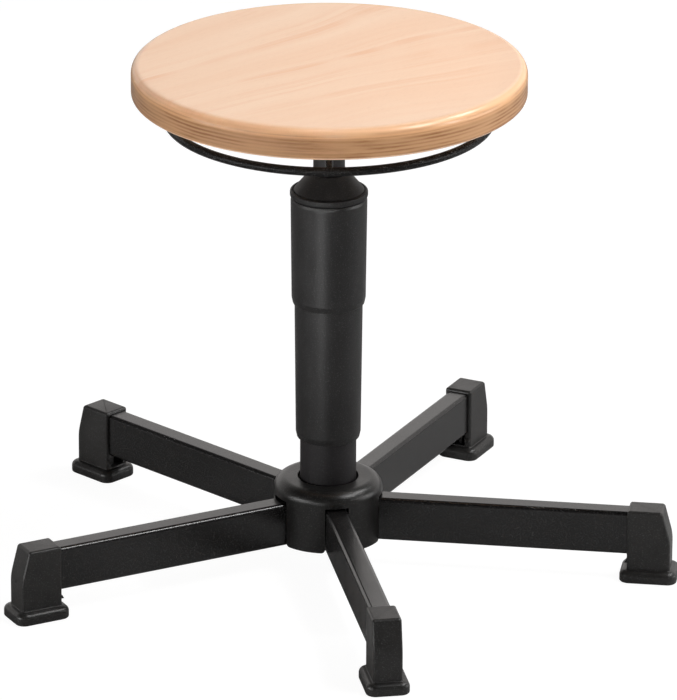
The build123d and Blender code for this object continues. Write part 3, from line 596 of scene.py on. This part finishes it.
class STOOL_OT_ring(bpy.types.Operator):
    """Model the release ring and its four welded spokes."""

    bl_idname = "stool.ring"
    bl_label = "Release ring"

    def execute(self, context):
        size = context.scene.stool_sizes
        coat = black_finish(context.scene.stool_colours, "powder_coated_bar")
        bar = size.ring_bar / 2
        reach = RING_HIGH.x - bar
        height = (RING_LOW.z + RING_HIGH.z) / 2
        clear()
        bpy.ops.mesh.primitive_torus_add(
            location=(0, 0, height),
            major_radius=reach,
            minor_radius=bar,
            major_segments=256,
            minor_segments=28,
        )
        ring = named("release_ring_bar")
        hold(ring, "EDIT")
        # Butt weld where the bent bar's ends meet, at the back between two spokes
        weld_turn, weld_wide, weld_high = radians(112), 5.6 * MM, 0.25 * MM
        weld = Vector((cos(weld_turn), sin(weld_turn))) * reach
        choose("VERT", lambda middle, part: (middle.xy - weld).length < weld_wide)
        bpy.ops.transform.shrink_fatten(value=weld_high)
        clear()
        done(ring, coat, "ring", "ring_coating", "release_ring", angle=60)

        half = size.spoke_bar / 2
        bend = size.spoke_bend
        low_r, high_r, end_r = 72 * MM, 54 * MM, 16 * MM
        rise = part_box("ring_spokes")[1].z - half - height
        run = low_r - high_r
        slope = Vector((-run, 0, rise)).angle(Vector((-1, 0, 0)))
        cut_back = bend * tan(slope / 2)
        start, swell = reach - bar * 0.6, 1.13
        clear()
        bpy.ops.mesh.primitive_circle_add(
            vertices=28, radius=half * swell, location=(start, 0, height), rotation=(0, pi / 2, 0)
        )
        spoke = named("ring_spokes_bars")
        hold(spoke, "EDIT")
        bpy.ops.mesh.select_all(action="SELECT")
        # The weld at the ring narrows to the bar over 3.7 mm
        weld_end = start
        for step, share in ((1.3 * MM, 1.096), (1.2 * MM, 1.052), (1.2 * MM, 1.0)):
            extrude(x=-step)
            weld_end -= step
            narrower = share / swell
            bpy.ops.transform.resize(value=(1, narrower, narrower), center_override=(weld_end, 0, height))
            swell = share
        extrude(x=low_r + cut_back - weld_end)
        bpy.ops.mesh.spin(steps=8, angle=-slope, center=(low_r + cut_back, 0, height + bend), axis=(0, -1, 0))
        extrude(*(Vector((-run, 0, rise)) * (1 - 2 * cut_back / hypot(run, rise))))
        bpy.ops.mesh.spin(
            steps=8, angle=slope, center=(high_r - cut_back, 0, height + rise - bend), axis=(0, -1, 0)
        )
        extrude(x=end_r - (high_r - cut_back))
        bpy.ops.mesh.edge_face_add()
        choose("VERT", lambda middle, part: middle.x > start - NEAR)
        bpy.ops.mesh.edge_face_add()
        close_seams()
        for quarter in range(1, 4):
            choose("FACE", lambda middle, part: middle.x > abs(middle.y) + 1 * MM)
            bpy.ops.mesh.duplicate()
            bpy.ops.transform.rotate(value=quarter * pi / 2, orient_axis="Z", center_override=(0, 0, 0))
        clear()
        done(spoke, coat, "ring", "ring_coating", "ring_spokes", angle=60)
        return {"FINISHED"}


class STOOL_OT_covers(bpy.types.Operator):
    """Model the telescopic cover: the beaded cap and two sleeves."""

    bl_idname = "stool.covers"
    bl_label = "Telescopic cover"

    def execute(self, context):
        size = context.scene.stool_sizes
        tint = context.scene.stool_colours
        plastic = black_finish(tint, "matte_polypropylene")
        wall, lip = size.cover_wall, size.cover_lip
        bead, top, foot = CAP_HIGH.x, CAP_HIGH.z, CAP_LOW.z
        shoulder, bead_low = top - 16.2 * MM, foot + 4.0 * MM
        bore, mouth, collar, cone, skirt = 14.1 * MM, 15.0 * MM, 17.5 * MM, 31.2 * MM, 32.0 * MM
        bore_low, cap_wall = top - 5.6 * MM, 3.4 * MM
        groove, groove_low = bead - 2.4 * MM, shoulder - 1.6 * MM
        cap = turned(
            "cover_cap_cone",
            [
                (bore, bore_low, 0),
                (bore, top - 1.2 * MM, 0),
                (mouth, top, 0.3 * MM),
                (collar, top, 0.6 * MM),
                (cone, shoulder, 0.4 * MM),
                (cone, groove_low, 0.3 * MM),
                (groove, groove_low, 0.2 * MM),
                (groove, shoulder, 0.3 * MM),
                (bead, shoulder, 2.0 * MM),
                (bead, bead_low, 2.0 * MM),
                (skirt, bead_low, 0.2 * MM),
                (skirt, foot, 0.2 * MM),
                (cone, foot, 0.2 * MM),
                (cone, shoulder - cap_wall, 0.4 * MM),
                (collar, top - cap_wall, 0.4 * MM),
                (bore, bore_low, 0),
            ],
        )
        dull = black_finish(tint, "dull_polypropylene")
        done(cap, dull, "seat", "cover_plastic", "cover_cap", angle=40)

        def sleeve(name, low, high, low_r, high_r, lip_r, rim):
            """A drawn-in lip below, a slightly conical wall, and the given rim above."""
            straight = high - 5 * MM
            return turned(
                name,
                [
                    (lip_r, low + 0.4 * MM, 0.3 * MM),
                    (lip_r + 0.6 * MM, low, 0.3 * MM),
                    (low_r - 1.1 * MM, low + 0.25 * MM, 0.8 * MM),
                    (low_r, low + lip, 3.2 * MM),
                    (high_r, straight, 0),
                    *rim,
                    (high_r - wall, high, 0.3 * MM),
                    (high_r - wall, straight, 0),
                    (low_r - wall, low + lip, 0),
                    (lip_r, low + 2 * MM, 0.3 * MM),
                    (lip_r, low + 0.4 * MM, 0),
                ],
            )

        # The upper sleeve is drawn in a little at its top edge
        edge, high = UPPER_HIGH.x, UPPER_HIGH.z
        drawn_in = [(edge, high - 2.6 * MM, 1.4 * MM), (edge - 0.7 * MM, high, 0.4 * MM)]
        upper = sleeve("upper_sleeve_shell", UPPER_LOW.z, high, 32.8 * MM, edge, 30.55 * MM, drawn_in)
        done(upper, plastic, "seat", "cover_plastic", "upper_sleeve", angle=40)
        # The middle sleeve hangs by a flange, 2.5 mm high, over the upper sleeve's lip
        edge, flange, high = 30.2 * MM, 30.75 * MM, MIDDLE_HIGH.z
        flange_low = high - 2.5 * MM
        flanged = [(edge, flange_low, 0.2 * MM), (flange, flange_low, 0.2 * MM), (flange, high, 0.3 * MM)]
        middle = sleeve("middle_sleeve_shell", MIDDLE_LOW.z, high, 28.9 * MM, edge, 25.35 * MM, flanged)
        done(middle, plastic, "middle_sleeve", "cover_plastic", "middle_sleeve", angle=40)
        return {"FINISHED"}


class STOOL_OT_hub(bpy.types.Operator):
    """Model the moulded hub cover with its five leg slots."""

    bl_idname = "stool.hub"
    bl_label = "Hub cover"

    def execute(self, context):
        size = context.scene.stool_sizes
        r, low, high = HUB_HIGH.x, HUB_LOW.z, HUB_HIGH.z
        opening, rim, rim_dip, collar = 27.2 * MM, 0.6 * MM, 0.35 * MM, 5.5 * MM
        clear()
        bpy.ops.mesh.primitive_cylinder_add(
            vertices=240, radius=r, depth=high - low, location=(0, 0, (low + high) / 2)
        )
        hub = named("hub_cover_shell")
        hold(hub, "EDIT")
        choose("FACE", lambda middle, part: part.normal.z < -0.9)
        bpy.ops.mesh.delete(type="FACE")
        choose("EDGE", lambda middle, part: middle.z > high - NEAR)
        bevel(size.hub_edge, 14)
        choose("FACE", lambda middle, part: len(part.verts) > 8)
        bpy.ops.mesh.inset(thickness=r - size.hub_edge - opening - rim)
        bpy.ops.mesh.inset(thickness=rim, depth=-rim_dip)
        extrude(z=-collar)
        bpy.ops.mesh.delete(type="FACE")
        close_seams()
        modify(hub, "SOLIDIFY", thickness=size.hub_wall, offset=-1.0, use_even_offset=True)
        # A slot stands a little off its leg and opens at the cover's lower edge with rounded corners
        half, crown = size.leg_width / 2 + 0.7 * MM, LEG_HIGH.z + 2.2 * MM
        below, mouth, mouth_half = low - 0.02 * MM, low - 6.02 * MM, half + 12 * MM
        crown_round, mouth_round = 1.0 * MM, 3.5 * MM
        corners = [
            (half, crown, crown_round),
            (half, below, mouth_round),
            (mouth_half, below, 0),
            (mouth_half, mouth, 0),
            (-mouth_half, mouth, 0),
            (-mouth_half, below, 0),
            (-half, below, mouth_round),
            (-half, crown, crown_round),
            (half, crown, 0),
        ]
        slot = barred("hub_slot", corners, 34 * MM, 64 * MM)
        for n in range(size.leg_count):
            cut(hub, turn_copy(slot, f"hub_slot_{n}", leg_turn(size, n)))
        bpy.data.objects.remove(slot)
        modify(hub, "BEVEL", width=0.35 * MM, segments=2, limit_method="ANGLE", angle_limit=radians(50))
        grained = black_finish(context.scene.stool_colours, "grained_polypropylene")
        done(hub, grained, "base", "hub_plastic", "hub_cover")
        return {"FINISHED"}


class STOOL_OT_legs(bpy.types.Operator):
    """Model one rectangular leg tube, coped to the core, and copy it round."""

    bl_idname = "stool.legs"
    bl_label = "Legs"

    def execute(self, context):
        size = context.scene.stool_sizes
        coat = black_finish(context.scene.stool_colours, "powder_coated_steel")
        low, high, corner = LEG_LOW.z, LEG_HIGH.z, size.leg_corner
        bar = barred("leg_tube", upright_box(size.leg_width / 2, low, high, corner, corner), 20 * MM, LEG_END)
        hold(bar, "EDIT")
        choose("FACE", lambda middle, part: abs(part.normal.x) > 0.9)
        bpy.ops.mesh.delete(type="FACE")
        clear()
        modify(bar, "SOLIDIFY", thickness=size.leg_wall, offset=-1.0, use_even_offset=True)
        bpy.ops.mesh.primitive_cylinder_add(
            vertices=96, radius=CORE_HIGH.x + 0.02 * MM, depth=100 * MM, location=(0, 0, (low + high) / 2)
        )
        cut(bar, named("core_space"))
        modify(bar, "BEVEL", width=0.25 * MM, segments=2, limit_method="ANGLE", angle_limit=radians(50))
        copy_round(size, bar, coat, "leg_coating", LEG_NODES)
        return {"FINISHED"}


class STOOL_OT_feet(bpy.types.Operator):
    """Model one moulded boot with its flared sole and copy it round."""

    bl_idname = "stool.feet"
    bl_label = "Feet"

    def execute(self, context):
        size = context.scene.stool_sizes
        plastic = black_finish(context.scene.stool_colours, "satin_polyamide")
        inner, outer, top_outer = 269.6 * MM, 308.2 * MM, 300.8 * MM
        half = size.leg_width / 2 + 3.0 * MM
        margin, sole, crown = size.sole_margin, size.sole_height, FOOT_HIGH.z
        sole_corner, sole_round, tread_round = 8.7 * MM, 5 * MM, 1.5 * MM
        crown_round, root_round = 2.4 * MM, 0.9 * MM
        middle_x = (inner + outer) / 2
        clear()
        bpy.ops.mesh.primitive_plane_add(size=1.0, location=(middle_x, 0, 0))
        boot = named("foot_boot")
        hold(boot, "EDIT")
        bpy.ops.mesh.select_all(action="SELECT")
        bpy.ops.transform.resize(
            value=(outer - inner + 2 * margin, 2 * half + 2 * margin, 1), center_override=(middle_x, 0, 0)
        )
        bevel(sole_corner, 8, "VERTICES")
        bpy.ops.mesh.select_all(action="SELECT")
        extrude(z=sole)
        choose("EDGE", lambda middle, part: middle.z > sole - NEAR)
        bevel(sole_round, 7)
        choose("EDGE", lambda middle, part: middle.z < NEAR)
        bevel(tread_round, 3)
        choose("FACE", lambda middle, part: len(part.verts) > 8 and part.normal.z > 0.9)
        bpy.ops.mesh.inset(thickness=margin - sole_round)
        # The outer face is upright to the shoulder, bends over and leans in to the top
        shoulder, bend_r, bend_steps = 39 * MM, 45 * MM, 8
        lean = (outer - top_outer) / (crown - shoulder)
        reach = bend_r * tan(atan(lean) / 2)
        here, at = outer, sole
        for z in [shoulder - reach + 2 * reach * k / bend_steps for k in range(bend_steps + 1)] + [crown]:
            if z < shoulder + reach:
                there = outer - lean * (z - shoulder + reach) ** 2 / (4 * reach)
            else:
                there = outer - lean * (z - shoulder)
            extrude(z=z - at)
            narrower = (there - inner) / (here - inner)
            bpy.ops.transform.resize(value=(narrower, 1, 1), center_override=(inner, 0, z))
            here, at = there, z
        choose("EDGE", lambda middle, part: middle.z > crown - NEAR)
        bevel(crown_round, 6)

        def at_root(middle, part):
            """Is this an edge where the boot stands on its sole?"""
            slopes = [face.normal.z for face in part.link_faces]
            return (
                abs(middle.z - sole) < NEAR
                and inner - 0.1 * MM < middle.x < outer + 0.1 * MM
                and abs(middle.y) < half + 0.1 * MM
                and all(abs(slope) < 0.5 or slope > 0.99 for slope in slopes)
                and any(abs(slope) < 0.1 for slope in slopes)
            )

        choose("EDGE", at_root)
        bevel(root_round, 4)
        close_seams()
        clear()

        # Nibs under the leg, cut through in the middle by the recess
        nib_r, nib_long = 2.3 * MM, 2 * half - 2 * MM
        bpy.ops.mesh.primitive_cylinder_add(
            vertices=3,
            radius=nib_r,
            depth=nib_long,
            location=(inner - 0.3 * MM, 0, LEG_LOW.z - 5.9 * MM),
            rotation=(pi / 2, 0, pi),
        )
        nib = named("foot_nib")
        modify(nib, "BEVEL", width=0.4 * MM, segments=3)
        cut(boot, nib, "UNION")
        outside, gap = inner - 8 * MM, 0.15 * MM
        corner = size.leg_corner + gap
        socket = upright_box(size.leg_width / 2 + gap, LEG_LOW.z - gap, LEG_HIGH.z + gap, corner, corner)
        cut(boot, barred("foot_socket", socket, outside, LEG_END + 0.2 * MM))
        recess = upright_box(half - 5.5 * MM, sole + 1.5 * MM, LEG_LOW.z + 2 * MM, 1.0 * MM)
        cut(boot, barred("foot_recess", recess, outside, outer - 4.4 * MM))
        rib = upright_box(1.5 * MM, sole, LEG_LOW.z - 0.4 * MM)
        cut(boot, barred("foot_rib", rib, inner + 6 * MM, outer - 2 * MM), "UNION")
        # Gate mark on the outer face
        gate_r, gate_deep, gate_z = 1.1 * MM, 0.8 * MM, 36.5 * MM
        bpy.ops.mesh.primitive_cylinder_add(
            vertices=20, radius=gate_r, depth=gate_deep, location=(outer, 0, gate_z), rotation=(0, pi / 2, 0)
        )
        cut(boot, named("foot_gate"))
        modify(boot, "BEVEL", width=0.3 * MM, segments=2, limit_method="ANGLE", angle_limit=radians(55))
        copy_round(size, boot, plastic, "foot_plastic", FOOT_NODES)
        return {"FINISHED"}


class STOOL_OT_fittings(bpy.types.Operator):
    """Finish the pieces whose CAD shape stays: tubes, brackets, screws, valve and bearing."""

    bl_idname = "stool.fittings"
    bl_label = "Tubes and fittings"

    def execute(self, context):
        tint = context.scene.stool_colours
        finish_nodes(black_finish(tint, "lacquered_steel_tube"), "pressure_tube", "column_tube")
        powder = black_finish(tint, "powder_coated_steel")
        finish_nodes(powder, "mounting_plate", "socket_bracket", "cone_socket", "hub_core")
        zinc = zinc_plate(tint)
        finish_nodes(zinc, "seat_screws", "rocker_disc", "valve_button", "piston_rod", "rod_clip")
        finish_nodes(zinc, "upper_washer", "lower_washer", "end_washer", "bearing_balls")
        finish_nodes(turned_brass(tint), "valve_body", "piston")
        finish_nodes(natural_acetal(tint), "rod_guide", "guide_bush", "ball_cage")
        finish_nodes(black_finish(tint, "moulded_rubber"), "rubber_bumper")
        return {"FINISHED"}


# Each lamp's name, place, aim, width, height and watts, and its spread in degrees and its shape where they
# aren't the usual ones. Grids keep the last four on the board, the column and the board's edge.
LAMPS = (
    ("key_softbox_back", (1.47, 0.48, 2.10), (0, 0, 0.25), 0.6, 0.6, 19.0),
    ("key_softbox_front", (1.33, -0.65, 2.02), (0, 0, 0.25), 0.6, 0.6, 19.0),
    ("side_softbox", (2.4, 0.1, 0.3), (0, 0, 0.25), 1.2, 0.5, 8.0),
    ("fill_softbox", (-2.1, -1.25, 0.35), (0, 0, 0.2), 1.8, 0.6, 21.0),
    ("board_spot", (-0.02, 0, 2.6), (-0.02, 0, 0.46), 0.39, 0.39, 0.065, 3.0, "DISK"),
    ("column_strip", (-1.0, -2.4, 0.10), (0, 0, 0.28), 0.3, 0.12, 0.13, 10.5),
    ("edge_strip", (0.12, -2.6, 0.75), (0, -0.15, 0.455), 0.5, 0.2, 0.085, 8.0),
    ("rim_softbox", (2.11, -0.65, 0.95), (0.12, -0.12, 0.455), 0.5, 0.7, 0.25, 20.0),
)


def seen_directly(tree, path):
    """Add the test for light that the camera sees directly or through something clear."""
    rays = {0: path["Is Camera Ray"], 1: path["Is Transmission Ray"]}
    return add(tree, "Math", rays, operation="MAXIMUM")


class STOOL_OT_stage(bpy.types.Operator):
    """Set the floor, the soft lights, the white surroundings and the camera."""

    bl_idname = "stool.stage"
    bl_label = "Stage"

    def execute(self, context):
        scene = context.scene
        scene.view_settings.view_transform = "Standard"
        clear()
        bpy.ops.mesh.primitive_plane_add(size=14.0, location=(0, 0, -0.3 * MM))
        floor = named("studio_floor")
        hold(floor, "EDIT")
        bpy.ops.mesh.select_all(action="SELECT")
        bpy.ops.mesh.subdivide(number_cuts=3)
        clear()
        floor.data.materials.append(self.floor_paint(scene.stool_colours))
        self.surroundings(scene)
        for lamp in LAMPS:
            self.hang(scene, *lamp)
        self.camera(scene)
        return {"FINISHED"}

    def floor_paint(self, tint):
        """White matt floor: seen directly it is white with the stool's soft shadow, and open from below."""
        shadow, glow_level = (0.14, 0.14, 0.14, 1), 0.95
        material = bpy.data.materials.new("matt_studio_paint")
        material.use_nodes = True
        tree = material.node_tree
        tree.nodes.clear()
        path = add(tree, "LightPath", out=None).outputs
        # Glossy rays see a darker copy of the floor: painted shade in its reflection on the black coats
        plain = add(tree, "BsdfDiffuse", {"Color": tint.floor})
        dim = add(tree, "BsdfDiffuse", {"Color": tint.floor_painted_shade})
        paint = add(tree, "MixShader", {0: path["Is Glossy Ray"], 1: plain, 2: dim})
        pale = add(tree, "BsdfDiffuse", {"Color": shadow})
        glow = add(tree, "Emission", {"Color": (1, 1, 1, 1), "Strength": glow_level})
        white = add(tree, "AddShader", {0: pale, 1: glow})
        top = add(tree, "MixShader", {0: seen_directly(tree, path), 1: paint, 2: white})
        back = add(tree, "NewGeometry", out="Backfacing")
        under = add(tree, "BsdfTransparent")
        both = add(tree, "MixShader", {0: back, 1: top, 2: under})
        add(tree, "OutputMaterial", {"Surface": both}, out=None)
        return material

    def surroundings(self, scene):
        """White to the eye; for light and reflections white behind the stool, dim in front and overhead."""
        # The photograph's black faces show such a room. In one that is white all round they come out grey.
        front, overhead, horizon = 0.10, 0.1, 0.30
        warm_white = (1.0, 0.965, 0.945, 1)
        world = bpy.data.worlds.new("studio_surroundings")
        scene.world = world
        world.use_nodes = True
        tree = world.node_tree
        tree.nodes.clear()
        path = add(tree, "LightPath", out=None).outputs
        way = add(tree, "SeparateXYZ", {0: add(tree, "TexCoord", out="Generated")}, out=None).outputs
        back = {0: way[1], 1: 0.0, 2: 0.85, 3: front, 4: 1.0}
        back = add(tree, "MapRange", back, interpolation_type="SMOOTHSTEP")
        high = {0: way[2], 1: 0.42, 2: 0.75, 3: 1.0, 4: overhead}
        high = add(tree, "MapRange", high, interpolation_type="SMOOTHSTEP")
        level = add(tree, "Math", {0: back, 1: high}, operation="MULTIPLY")
        low = add(tree, "MapRange", {0: way[2], 1: 0.0, 2: 0.16, 3: horizon, 4: 0.0})
        level = add(tree, "Math", {0: level, 1: low}, operation="ADD")
        light = add(tree, "Background", {"Color": warm_white, "Strength": level})
        white = add(tree, "Background", {"Color": (1, 1, 1, 1), "Strength": 1.0})
        both = add(tree, "MixShader", {0: seen_directly(tree, path), 1: light, 2: white})
        add(tree, "OutputWorld", {"Surface": both}, out=None)

    def hang(self, scene, name, place, aim, wide, tall, watts, spread=180.0, shape="RECTANGLE"):
        """Hang a soft area lamp that looks at a point."""
        data = bpy.data.lights.new(name, "AREA")
        data.shape = shape
        data.size, data.size_y, data.energy, data.spread = wide, tall, watts, radians(spread)
        lamp = bpy.data.objects.new(name, data)
        lamp.location = place
        lamp.rotation_euler = (Vector(aim) - Vector(place)).to_track_quat("-Z", "Y").to_euler()
        scene.collection.objects.link(lamp)

    def camera(self, scene):
        """A long lens at the photograph's height, for a picture of 677 by 700."""
        distance, elevation, roll = 7.0, radians(20.837), radians(0.218)
        pivot = 0.240
        aim = Vector((0.00886, -0.01357, 0.20435))
        data = bpy.data.cameras.new("photo_camera")
        data.sensor_width = 36.0
        data.lens = 407.5
        data.clip_end = 60.0
        camera = bpy.data.objects.new("photo_camera", data)
        camera.location = (0, -distance * cos(elevation), pivot + distance * sin(elevation))
        look = (aim - camera.location).to_track_quat("-Z", "Y")
        camera.rotation_euler = (look @ Quaternion((0, 0, 1), roll)).to_euler()
        scene.collection.objects.link(camera)
        scene.camera = camera


OPERATORS = (
    STOOL_OT_seat,
    STOOL_OT_ring,
    STOOL_OT_covers,
    STOOL_OT_hub,
    STOOL_OT_legs,
    STOOL_OT_feet,
    STOOL_OT_fittings,
    STOOL_OT_stage,
)


class STOOL_PT_pieces(bpy.types.Panel):
    """The stool's pieces, sizes and colours."""

    bl_idname = "STOOL_PT_pieces"
    bl_label = "Swivel stool"
    bl_space_type = "VIEW_3D"
    bl_region_type = "UI"
    bl_category = "Stool"

    def draw(self, context):
        for operator in OPERATORS:
            self.layout.operator(operator.bl_idname)
        for group in (context.scene.stool_sizes, context.scene.stool_colours):
            column = self.layout.column()
            for key in group.__annotations__:
                column.prop(group, key)


CLASSES = (StoolSizes, StoolColours, *OPERATORS, STOOL_PT_pieces)


def register():
    """Register the classes and give the scene its sizes and colours."""
    for each in CLASSES:
        bpy.utils.register_class(each)
    bpy.types.Scene.stool_sizes = PointerProperty(type=StoolSizes)
    bpy.types.Scene.stool_colours = PointerProperty(type=StoolColours)


def unregister():
    """Take back what register set."""
    del bpy.types.Scene.stool_colours
    del bpy.types.Scene.stool_sizes
    for each in reversed(CLASSES):
        bpy.utils.unregister_class(each)


def main():
    """Make the stool on its stage."""
    register()
    bpy.ops.stool.stage()
    bpy.ops.stool.seat()
    bpy.ops.stool.ring()
    bpy.ops.stool.covers()
    bpy.ops.stool.hub()
    bpy.ops.stool.legs()
    bpy.ops.stool.feet()
    bpy.ops.stool.fittings()


if __name__ == "__main__":
    main()
